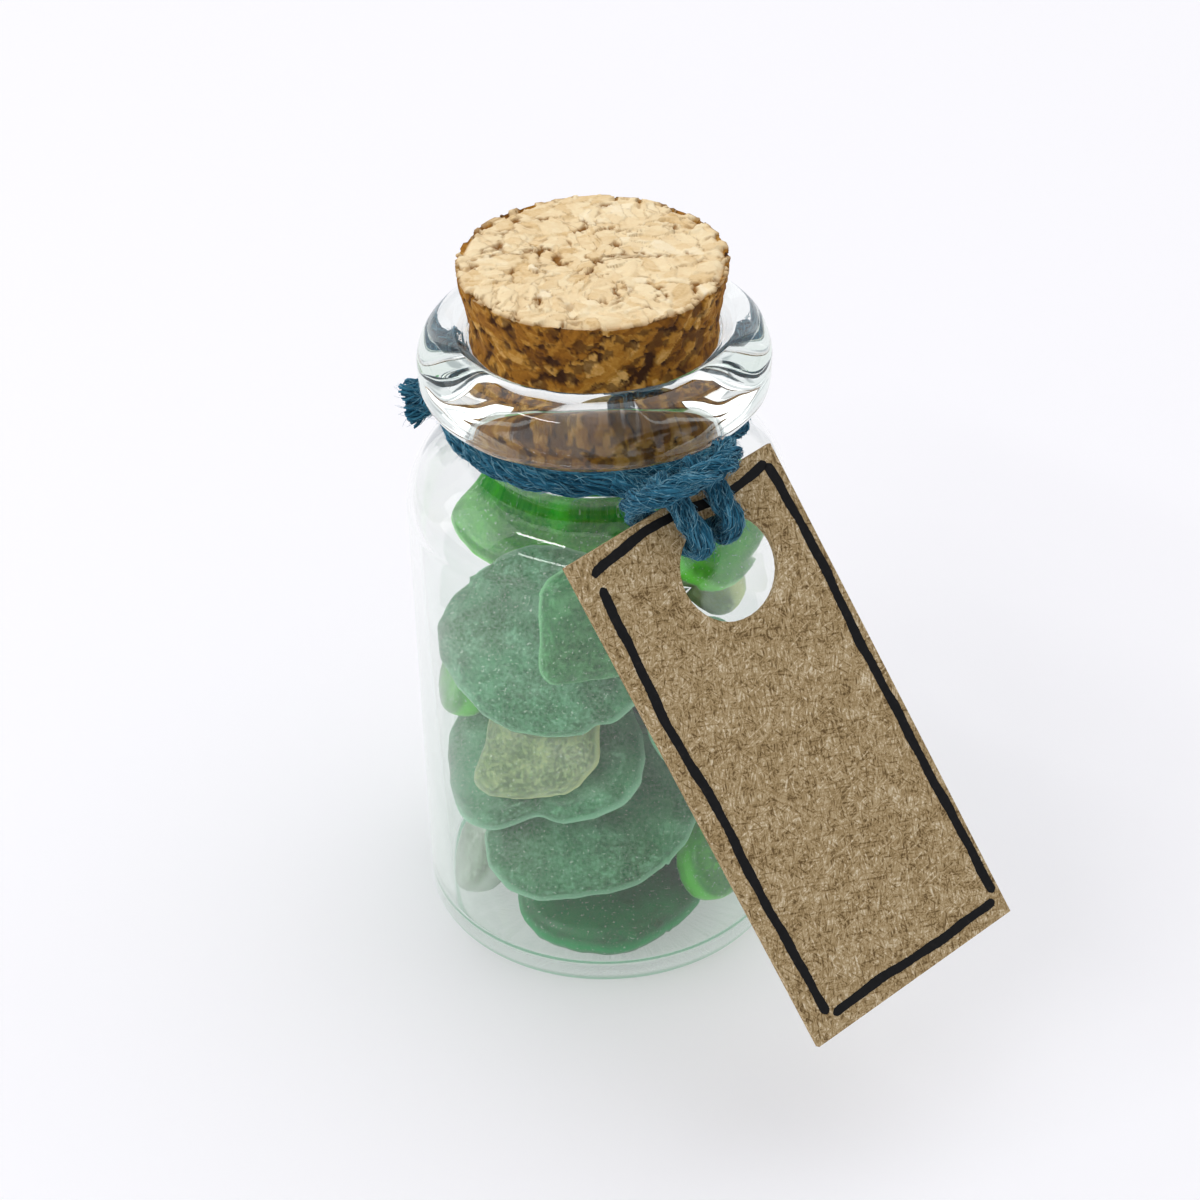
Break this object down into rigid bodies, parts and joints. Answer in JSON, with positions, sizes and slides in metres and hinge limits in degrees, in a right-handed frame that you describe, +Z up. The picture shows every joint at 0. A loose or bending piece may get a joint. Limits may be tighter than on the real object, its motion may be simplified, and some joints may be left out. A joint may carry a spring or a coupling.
{
  "type": "corked bottle of sea glass",
  "caption": "Small clear glass bottle with a tapered cork, filled with frosted green sea glass, with a card tag tied to its neck by blue twine.",
  "frame": {"origin": "centre of the bottle's base, on the surface that it stands on", "axes": "+Z up along the bottle's axis; the front of the picture faces -Y; the tag hangs at the front right"},
  "size_m": [0.0333, 0.0376, 0.0435],
  "materials": {
    "clear_glass": "smooth moulded glass with a faint green tint",
    "cork": "pressed cork granules, matt, pitted",
    "twine": "twisted teal blue cotton, matt and slightly fluffy",
    "kraft_card": "brown kraft card of wood fibre, matt",
    "sea_glass_sage": "tumbled, frosted",
    "sea_glass_sea_green": "tumbled, frosted",
    "sea_glass_pale_green": "tumbled, frosted",
    "sea_glass_pale_grey": "tumbled, frosted",
    "sea_glass_bright_green": "tumbled, frosted",
    "sea_glass_dark_green": "tumbled, frosted",
    "sea_glass_olive": "tumbled, frosted"
  },
  "bodies": {
    "bottle": {"glass_bottle": "clear_glass", "sea_glass_bottom_dark": "sea_glass_dark_green", "sea_glass_back_left_low": "sea_glass_sage", "sea_glass_back_right_low": "sea_glass_sea_green", "sea_glass_bottom_left_pale": "sea_glass_pale_grey", "sea_glass_low_right_green": "sea_glass_bright_green", "sea_glass_rounded_sage": "sea_glass_sage", "sea_glass_right_grey": "sea_glass_pale_grey", "sea_glass_kidney_sage": "sea_glass_sage", "sea_glass_back_left_mid": "sea_glass_olive", "sea_glass_back_right_mid": "sea_glass_sage", "sea_glass_olive_trapezoid": "sea_glass_olive", "sea_glass_left_small_green": "sea_glass_bright_green", "sea_glass_mid_right_sage": "sea_glass_sage", "sea_glass_back_left_top": "sea_glass_sea_green", "sea_glass_back_right_top": "sea_glass_olive", "sea_glass_top_green": "sea_glass_bright_green", "sea_glass_large_sage": "sea_glass_sage", "sea_glass_square_pale": "sea_glass_pale_green", "sea_glass_top_right_green": "sea_glass_bright_green"},
    "stopper": {"cork_stopper": "cork"},
    "string": {"neck_twine": "twine"},
    "tag": {"tag_card": "kraft_card", "hitch_twine": "twine"}
  },
  "joints": [
    {"name": "cork_pull", "type": "slide", "parent": "bottle", "child": "stopper", "axis": [0, 0, 1], "range_m": [0, 0.02]},
    {"name": "string_turn", "type": "hinge", "parent": "bottle", "child": "string", "pos_m": [0, 0, 0.0342], "axis": [0, 0, 1], "continuous": true},
    {"name": "tag_swing", "type": "hinge", "parent": "string", "child": "tag", "pos_m": [0.00528, -0.00976, 0.036], "axis": [-0.8797, -0.4756, 0], "range_deg": [-10, 45]}
  ]
}
